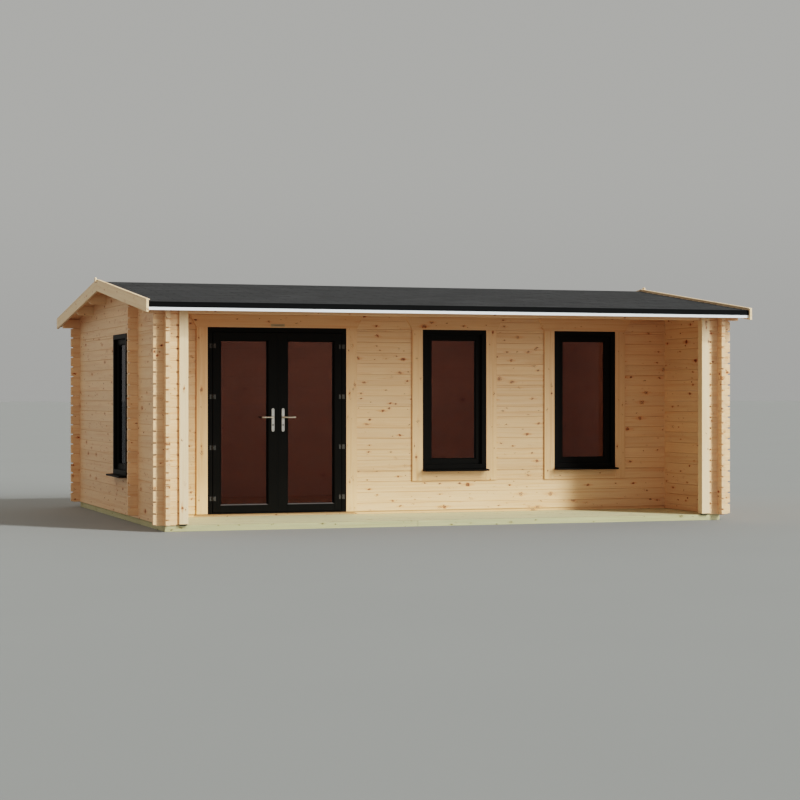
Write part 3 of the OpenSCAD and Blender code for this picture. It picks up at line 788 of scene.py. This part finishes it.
def roof():
    for s, side in ((-1, "front"), (1, "back")):
        stock = Stock(41 + s)
        roof_boards(stock, s)
        stock.made(side + "_roof_boarding", "cabin", board_pine, "pine_boards", [side + "_roof_boards"], 0)
        stock = Stock(51 + s)
        shingles(stock, s)
        if s < 0:
            ridge_caps(stock)
        stock.made(side + "_felt_shingles", "cabin", felt, "roof_felt", [side + "_roof_cover"], 0)

    edge, fascia = Stock(61), Stock(62)
    out = span("eave_edges")[3]
    top, low, foot = cover_z(out), span("eave_edges")[4], span("eave_fascias")[4]
    back, inner = COVER_Y, COVER_Y - 0.018
    for s in (-1, 1):
        lip = [(back, top + 0.003), (out - 0.002, top + 0.003), (out, top), (out, low + 0.004),
               (out + 0.002, low), (back, low)]
        edge.add(prism([(s * y, z) for y, z in lip], -ROOF_X, ROOF_X, "x"), X, Z)
        board = [(back, under_z(back)), (back, low), (out - 0.001, low), (out - 0.001, foot), (inner, foot),
                 (inner, under_z(inner))]
        fascia.add(prism([(s * y, z) for y, z in board], -ROOF_X, ROOF_X, "x"), X, Z)
    edge.made("eave_drip_edges", "cabin", black_edge, "black_edge", ["eave_edges"], 0.001)
    fascia.made("eave_fascia_boards", "cabin", white_edge, "white_fascia", ["eave_fascias"], 0.0015)


# ---- Frames, doors and windows ----


def mitred(stock, x0, x1, z0, z1, w, y0, y1, matrix=Matrix()):
    """Four mitred bars of width w round a rectangle in the X Z plane."""
    bars = [([(x0, z0), (x0 + w, z0 + w), (x0 + w, z1 - w), (x0, z1)], Z),
            ([(x1, z0), (x1, z1), (x1 - w, z1 - w), (x1 - w, z0 + w)], Z),
            ([(x0, z0), (x1, z0), (x1 - w, z0 + w), (x0 + w, z0 + w)], X),
            ([(x0, z1), (x0 + w, z1 - w), (x1 - w, z1 - w), (x1, z1)], X)]
    for outline, along in bars:
        stock.add(moved(prism(outline, y0, y1, "y"), matrix), along, Y)


def bead(stock, x0, x1, z0, z1, w, face, foot, sides=range(4), matrix=Matrix()):
    """Mitred beads that slope from the frame's face down to the glass: foot 0, right 1, head 2 and left 3."""
    outer = [(x0, z0), (x1, z0), (x1, z1), (x0, z1)]
    inner = [(x0 + w, z0 + w), (x1 - w, z0 + w), (x1 - w, z1 - w), (x0 + w, z1 - w)]
    for i in sides:
        j = (i + 1) % 4
        (ax, az), (bx, bz), (cx, cz), (dx, dz) = outer[i], outer[j], inner[j], inner[i]
        points = [Vector(p) for p in ((ax, face, az), (bx, face, bz), (cx, foot, cz), (dx, foot, dz),
                                      (ax, foot, az), (bx, foot, bz))]
        faces = [(0, 1, 2, 3), (0, 4, 5, 1), (4, 3, 2, 5), (0, 3, 4), (1, 5, 2)]
        stock.add(moved((points, faces), matrix), X, Z)


def panes(stock, x0, x1, z0, z1, y, matrix=Matrix()):
    """A sealed unit of two thin panes."""
    for a, b in ((y, y + 0.004), (y + 0.020, y + 0.024)):
        stock.add(moved(block(x0, x1, a, b, z0, z1), matrix), X, Z)


def door_frame():
    stock = Stock(71)
    x0, x1, y0, y1, z0, z1 = span("door_frame")
    jamb, sill, stop, stop_t = 0.048, 0.012, 0.014, 0.008
    for a, b in ((x0, x0 + jamb), (x1 - jamb, x1)):
        stock.add(block(a, b, y0, y1, z0 + sill, z1 - jamb), Z, X)
    stock.add(block(x0, x1, y0, y1, z1 - jamb, z1), X, Z)
    stock.add(block(x0, x1, y0, y1, z0, z0 + sill), X, Z)
    # Rebate stops behind the leaves close the gap round them
    mitred(stock, x0 + jamb, x1 - jamb, z0 + sill, z1 - jamb, stop, y1 - stop_t, y1)
    stock.made("door_casing", "cabin", black_frame, "black_frames", ["door_frame"], 0.002)


def door_leaf(i, side):
    """A glazed leaf of four bars, with its beads, its sealed unit, seals and the strip on its meeting edge."""
    body = side + "_door"
    x0, x1, y0, y1, z0, z1 = span(side + "_door_leaf")
    hinge_stile, meeting_stile, foot_rail, head_rail = 0.078, 0.100, 0.072, 0.078
    left, right = (hinge_stile, meeting_stile) if i == 0 else (meeting_stile, hinge_stile)
    g0, g1, h0, h1 = x0 + left, x1 - right, z0 + foot_rail, z1 - head_rail
    pane_y = span(side + "_door_glass")[2]
    stock = Stock(72 + i)
    # The meeting edge is bevelled, so that one leaf swings clear of the other
    bevel_0, bevel_1 = (0, 0.004) if i == 0 else (0.004, 0)
    stock.add(prism([(x0, y0), (g0, y0), (g0, y1), (x0 + bevel_0, y1)], z0, z1, "z"), Z, X)
    stock.add(prism([(g1, y0), (x1, y0), (x1 - bevel_1, y1), (g1, y1)], z0, z1, "z"), Z, X)
    stock.add(block(g0, g1, y0, y1, z0, h0), X, Z)
    stock.add(block(g0, g1, y0, y1, h1, z1), X, Z)
    bead(stock, g0, g1, h0, h1, 0.010, y0 + 0.004, pane_y, (1, 2, 3))
    bead(stock, g0, g1, h0, h1, 0.010, y1 - 0.002, pane_y + 0.024)
    stock.made(side + "_leaf_timber", body, black_frame, "black_frames", [side + "_door_leaf"], 0.0018)
    # The foot bead is grey, not black: a painted highlight for the sky that its sloped face reflects.
    stock = Stock(78 + i)
    bead(stock, g0, g1, h0, h1, 0.012, y0 - 0.003, pane_y, (0,))
    stock.made(side + "_leaf_foot_bead_painted_sheen", body, painted_sheen_bead, "black_frames", (), 0.0012)
    stock = Stock(74 + i)
    panes(stock, g0 - 0.004, g1 + 0.004, h0 - 0.004, h1 + 0.004, pane_y)
    stock.made(side + "_leaf_panes", body, tinted, "tinted_glass", [side + "_door_glass"], 0)
    stock = Stock(76 + i)
    for y in (pane_y - 0.0015, pane_y + 0.024):
        mitred(stock, g0 + 0.006, g1 - 0.006, h0 + 0.006, h1 - 0.006, 0.007, y, y + 0.0015)
    # A strip on the meeting edge, near its front so that it clears the other leaf's strip as either swings
    strip = 0.0022
    edge_0, edge_1 = (x1, x1 + strip) if i == 0 else (x0 - strip, x0)
    stock.add(block(edge_0, edge_1, y0 + 0.001, y0 + 0.008, z0, z1), Z, X)
    stock.made(side + "_leaf_seals", body, rubber, "black_frames", (), 0)


def lever(x, face, s, out, length, z):
    """Path and radii of a lever: straight out of the plate, round a bend, then along the leaf to its end."""
    r, bend = 0.0085, 0.016
    path = [Vector((x, face + s * t, z)) for t in (0.0, 0.010, 0.0195)]
    for k in range(1, 9):
        a = math.radians(90) * k / 8
        path.append(Vector((x + out * bend * (1 - math.cos(a)), face + s * (0.0195 + bend * math.sin(a)), z)))
    base = path[-1].copy()
    radii = [r] * len(path)
    reach = length - bend
    for t, size in ((0.25, 1), (0.5, 1), (0.75, 1), (0.94, 1), (0.975, 0.9), (1.0, 0.5)):
        path.append(base + Vector((out * reach * t, 0, -0.0015 * math.sin(t * math.pi))))
        radii.append(r * size)
    return path, radii


def handle(i, side):
    """Long plates with a keyhole and screws on both faces, and the two levers on their spindle."""
    body, turn = side + "_door", side + "_lever"
    px0, px1, py0, py1, pz0, pz1 = span(side + "_door_plates")
    leaf = span(side + "_door_leaf")
    pivot = Vector(JOINTS[turn])
    x, r, middle = pivot.x, (px1 - px0) / 2, (pz0 + pz1) / 2
    straight = (pz1 - pz0) / 2 - r
    arc = [math.pi * k / 12 for k in range(13)]
    outline = [(x + r * math.cos(a), middle + straight + r * math.sin(a)) for a in arc]
    outline += [(x - r * math.cos(a), middle - straight - r * math.sin(a)) for a in arc]
    length = max(abs(v - x) for v in span(side + "_door_lever")[:2])
    plates, screws, levers = Stock(81 + i), Stock(83 + i), Stock(85 + i)
    head = lathe([(0, -0.001), (0.0038, -0.001), (0.0038, 0.0006), (0.0026, 0.0014), (0.0014, 0.0010),
                  (0, 0.0004)], 16)
    key = lathe([(0, -0.001), (0.0085, -0.001), (0.0085, 0.0015), (0.0062, 0.0022), (0.002, 0.0022),
                 (0, 0.0008)], 20)
    collar = lathe([(0, 0), (0.0120, 0.0), (0.0120, 0.004), (0.0112, 0.007), (0.0100, 0.008), (0, 0.008)], 24)
    for face, outside, s in ((leaf[2], py0, -1), (leaf[3], py1, 1)):
        plates.add(prism(outline, min(face, outside), max(face, outside), "y"), Z, X)
        stand = Matrix.Translation((x, outside, 0)) @ Matrix.Rotation(math.radians(90) * -s, 4, "X")
        for dz in (-0.105, 0.105):
            screws.add(moved(head, Matrix.Translation((0, 0, middle + dz)) @ stand))
        screws.add(moved(key, Matrix.Translation((0, 0, middle - 0.052)) @ stand))
        levers.add(moved(collar, Matrix.Translation((0, 0, pivot.z)) @ stand))
        levers.add(tube(*lever(x, outside, s, -1 if i == 0 else 1, length, pivot.z), 20))
    spindle = [Vector((x, y, pivot.z)) for y in (leaf[2] - 0.004, leaf[3] + 0.004)]
    levers.add(tube(spindle, [0.004, 0.004], 8))
    plates.made(side + "_handle_plates", body, satin, "satin_metal", [side + "_door_plates"], 0.0012, 2, True)
    screws.made(side + "_handle_screws", body, hinge_metal, "satin_metal", (), 0, 1, True)
    levers.made(side + "_handle_levers", turn, lever_metal, "satin_metal", [side + "_door_lever"], 0, 1, True)


HINGE_HEIGHTS = (0.248, 0.777, 1.305, 1.833)
SCREW_ACROSS, SCREW_APART, PLATE_T = 0.024, 0.015, 0.005


def hinges():
    """The CAD hinges with softened edges, and screw heads on their plates."""
    for node in ("left_door_hinges", "right_door_hinges", "frame_hinges"):
        piece = frame["nodes"][node]
        piece.data.materials.clear()
        piece.data.materials.append(hinge_metal)
        weld = piece.modifiers.new("weld", "WELD")
        weld.merge_threshold = 0.00002
        soften(piece, 0.0006, 2, 40)
    head = lathe([(0, -0.001), (0.0034, -0.001), (0.0034, 0.0004), (0.0022, 0.0010), (0, 0.0006)], 12)
    face = Matrix.Rotation(math.radians(90), 4, "X")
    across, apart = SCREW_ACROSS, SCREW_APART
    frame_stock = Stock(91)
    for seed, side, inward in ((92, "left", 1), (93, "right", -1)):
        leaf_stock = Stock(seed)
        body = side + "_door"
        x = JOINTS[body][0]
        for z in HINGE_HEIGHTS:
            for dz in (-apart, apart):
                y = span(body + "_leaf")[2] - PLATE_T
                leaf_stock.add(moved(head, Matrix.Translation((x + inward * across, y, z + dz)) @ face))
                y = span("door_frame")[2] - PLATE_T
                frame_stock.add(moved(head, Matrix.Translation((x - inward * across, y, z + dz)) @ face))
        leaf_stock.made(side + "_leaf_hinge_screws", body, screw_metal, "hinge_metal", (), 0, 1, True)
    frame_stock.made("frame_hinge_screws", "cabin", screw_metal, "hinge_metal", (), 0, 1, True)


OUTER, SASH, SASH_STEP, PANE_STEP = 0.050, 0.054, 0.034, 0.044
SILL_OUT, SIDE_SILL_OUT = 0.103, 0.078


def window_place(node):
    """Where a window's own axes stand: x across, outer face at y = 0, foot at z = 0.

    Gives that, and the window's width, height and depth."""
    x0, x1, y0, y1, z0, z1 = span(node)
    if node == "side_window":
        place = Matrix.Translation((x0, (y0 + y1) / 2, z0)) @ Matrix.Rotation(math.radians(-90), 4, "Z")
        return place, y1 - y0, z1 - z0, x1 - x0
    return Matrix.Translation(((x0 + x1) / 2, y0, z0)), x1 - x0, z1 - z0, y1 - y0


def windows():
    glazing, sills = Stock(111), Stock(112)
    for k, node in enumerate(("front_window_1", "front_window_2", "side_window")):
        matrix, wide, h, deep = window_place(node)
        w, p = wide / 2, OUTER + SASH
        stock = Stock(101 + 2 * k)
        mitred(stock, -w, w, 0, h, OUTER, 0, deep, matrix)
        s = OUTER + 0.0005
        mitred(stock, -w + s, w - s, s, h - s, SASH - 0.0005, SASH_STEP, deep - 0.002, matrix)
        bead(stock, -w + p, w - p, p, h - p, 0.008, SASH_STEP + 0.002, PANE_STEP, matrix=matrix)
        bead(stock, -w + p, w - p, p, h - p, 0.008, deep - 0.0025, PANE_STEP + 0.024, matrix=matrix)
        stock.made(node + "_joinery", "cabin", black_frame, "black_frames", [node], 0.0018)
        seal = Stock(102 + 2 * k)
        for y in (PANE_STEP - 0.0015, PANE_STEP + 0.024):
            q = p + 0.005
            mitred(seal, -w + q, w - q, q, h - q, 0.006, y, y + 0.0015, matrix)
        seal.made(node + "_seals", "cabin", rubber, "black_frames", (), 0)
        panes(glazing, -w + p - 0.004, w - p + 0.004, p - 0.004, h - p + 0.004, PANE_STEP, matrix)
        out = SIDE_SILL_OUT if node == "side_window" else SILL_OUT
        outline = [(-out, -SILL_T), (deep, -SILL_T), (deep, 0), (-0.002, 0), (-out, -0.005)]
        sills.add(moved(prism(outline, -w, w, "x"), matrix), X, Z)
    glazing.made("window_panes", "cabin", tinted, "tinted_glass", ["window_glass"], 0)
    sills.made("window_sill_boards", "cabin", black_frame, "black_frames", ["window_sills"], 0.002)


def surround(stock, node, foot, apron=None):
    """Smooth boards round a frame: two sides from foot up, a head board with slanted ends, and an apron."""
    x0, x1 = span(node)[:2]
    top, head_top = span(node)[5], span("window_trim")[5]
    y0, y1, wide, slant = TRIM_Y, RECESS_Y, 0.120, 0.072
    for a, b in ((x0 - wide, x0), (x1, x1 + wide)):
        stock.add(block(a, b, y0, y1, foot, top), Z, X)
    head = [(x0 - wide, top), (x1 + wide, top), (x1 + wide + slant, head_top), (x0 - wide - slant, head_top)]
    stock.add(prism(head, y0, y1, "y"), X, Z)
    if apron:
        stock.add(block(x0, x1, y0, y1, foot, apron), X, Z)


def trims():
    stock = Stock(121)
    surround(stock, "door_frame", span("door_frame")[4])
    stock.made("door_surround", "cabin", board_pine, "pine_boards", ["door_trim"], 0.0025)
    stock = Stock(122)
    for node in ("front_window_1", "front_window_2"):
        surround(stock, node, span("window_trim")[4], span(node)[4] - SILL_T)
    stock.made("window_surrounds", "cabin", board_pine, "pine_boards", ["window_trim"], 0.0025)


def vent():
    """Slotted vent plate over the door: a rim, a back and slanted blades."""
    stock = Stock(131)
    x0, x1, y0, y1, z0, z1 = span("vent_plate")
    mitred(stock, x0, x1, z0, z1, 0.005, y0, y1)
    stock.add(block(x0 + 0.004, x1 - 0.004, y1 - 0.0012, y1, z0 + 0.004, z1 - 0.004), X, Z)
    blades, first, pitch, thick, rise = 4, 0.006, 0.0046, 0.0012, 0.002
    for k in range(blades):
        z = z0 + first + k * pitch
        outline = [(y0 + 0.001, z), (y0 + 0.004, z + rise), (y0 + 0.004, z + rise + thick),
                   (y0 + 0.001, z + thick)]
        stock.add(prism(outline, x0 + 0.004, x1 - 0.004, "x"), X, Z)
    stock.made("door_vent", "cabin", vent_metal, "hinge_metal", ["vent_plate"], 0.0003, 1)


bearers()
floors()
walls()
posts()
purlins()
barge_boards()
roof()
door_frame()
for index, side_name in enumerate(("left", "right")):
    door_leaf(index, side_name)
    handle(index, side_name)
hinges()
windows()
trims()
vent()


# ---- Stage, lights and camera ----

AMBIENT, AMBIENT_LEVEL = (1.0, 0.96, 0.895, 1.0), 0.54
NEAR_TONE, FAR_TONE = (0.36, 0.36, 0.35, 1.0), (0.40, 0.40, 0.385, 1.0)
# Elevation, strength and spread of each lamp of the strip
STRIP = ((43, 1.55, 5), (33, 0.78, 9), (24, 0.60, 9), (15, 0.42, 9), (6, 0.36, 9))
STRIP_COLOUR, STRIP_AZIMUTH = (0.92, 0.98, 1.0), 38
ROOM_POWER = 40


def stage():
    material, g, principled = shader("studio_floor", Roughness=0.9)
    where = g.new("TexCoord").outputs["Object"]
    g.link(g.blend(g.mul(g.noise(where, 0.35, 3.0), 0.5), rgb(145, 146, 144), rgb(138, 139, 137)),
           principled.inputs["Base Color"])
    mesh = bpy.data.meshes.new("studio_floor")
    far = 400
    mesh.from_pydata([(-far, -far, 0), (far, -far, 0), (far, far, 0), (-far, far, 0)], [], [(0, 1, 2, 3)])
    mesh.materials.append(material)
    floor = placed("studio_floor", mesh)


def backdrop():
    """Soft light from all round, and a plain pale backdrop that only the camera sees."""
    world = bpy.data.worlds.new("studio")
    world.use_nodes = True
    tree = world.node_tree
    g = Graph(tree)
    light = g.fed(tree.nodes["Background"], AMBIENT, AMBIENT_LEVEL)
    height = g.split(g.new("TexCoord").outputs["Generated"])[2]
    seen = g.fed(g.new("Background"), g.blend(g.ramp(height, 0.0, 0.12), NEAR_TONE, FAR_TONE))
    mixed = g.mix(g.new("LightPath").outputs["Is Camera Ray"], light, seen)
    g.link(mixed, tree.nodes["World Output"].inputs[0])
    bpy.context.scene.world = world


def strip_light():
    """A tall, narrow light made of distant lamps. Azimuth is from the cabin's front towards its right side."""
    for elevation, energy, angle in STRIP:
        name = "strip_%d" % elevation
        data = bpy.data.lights.new(name, "SUN")
        data.energy = energy
        data.color = STRIP_COLOUR
        data.angle = math.radians(angle)
        a, e = math.radians(STRIP_AZIMUTH), math.radians(elevation)
        away = Vector((math.sin(a) * math.cos(e), -math.cos(a) * math.cos(e), math.sin(e)))
        placed(name, data).rotation_euler = away.to_track_quat("Z", "Y").to_euler()


def room_light():
    """A soft light in the room that faces its back wall, so that the logs show through the tinted panes."""
    data = bpy.data.lights.new("room_light", "AREA")
    data.shape = "RECTANGLE"
    data.size, data.size_y = 5.0, 1.2
    data.energy = ROOM_POWER
    data.color = (1.0, 0.95, 0.9)
    lamp = placed("room_light", data)
    lamp.location = (0, RECESS_Y + 0.5, 1.75)
    lamp.rotation_euler = (math.radians(80), 0, 0)
    lamp.visible_camera = False


def camera():
    data = bpy.data.cameras.new("camera")
    data.sensor_width = 36
    data.lens = 91.56
    data.shift_y = -0.0059
    data.clip_end = 900
    eye = placed("camera", data)
    eye.location = (-7.138, -21.703, 1.320)
    eye.rotation_euler = (math.radians(90), 0, -0.32651)
    bpy.context.scene.camera = eye


stage()
backdrop()
strip_light()
room_light()
camera()
# A film-like tone
view = bpy.context.scene.view_settings
view.view_transform = "Filmic"
view.look = "High Contrast"
view.exposure = -0.15
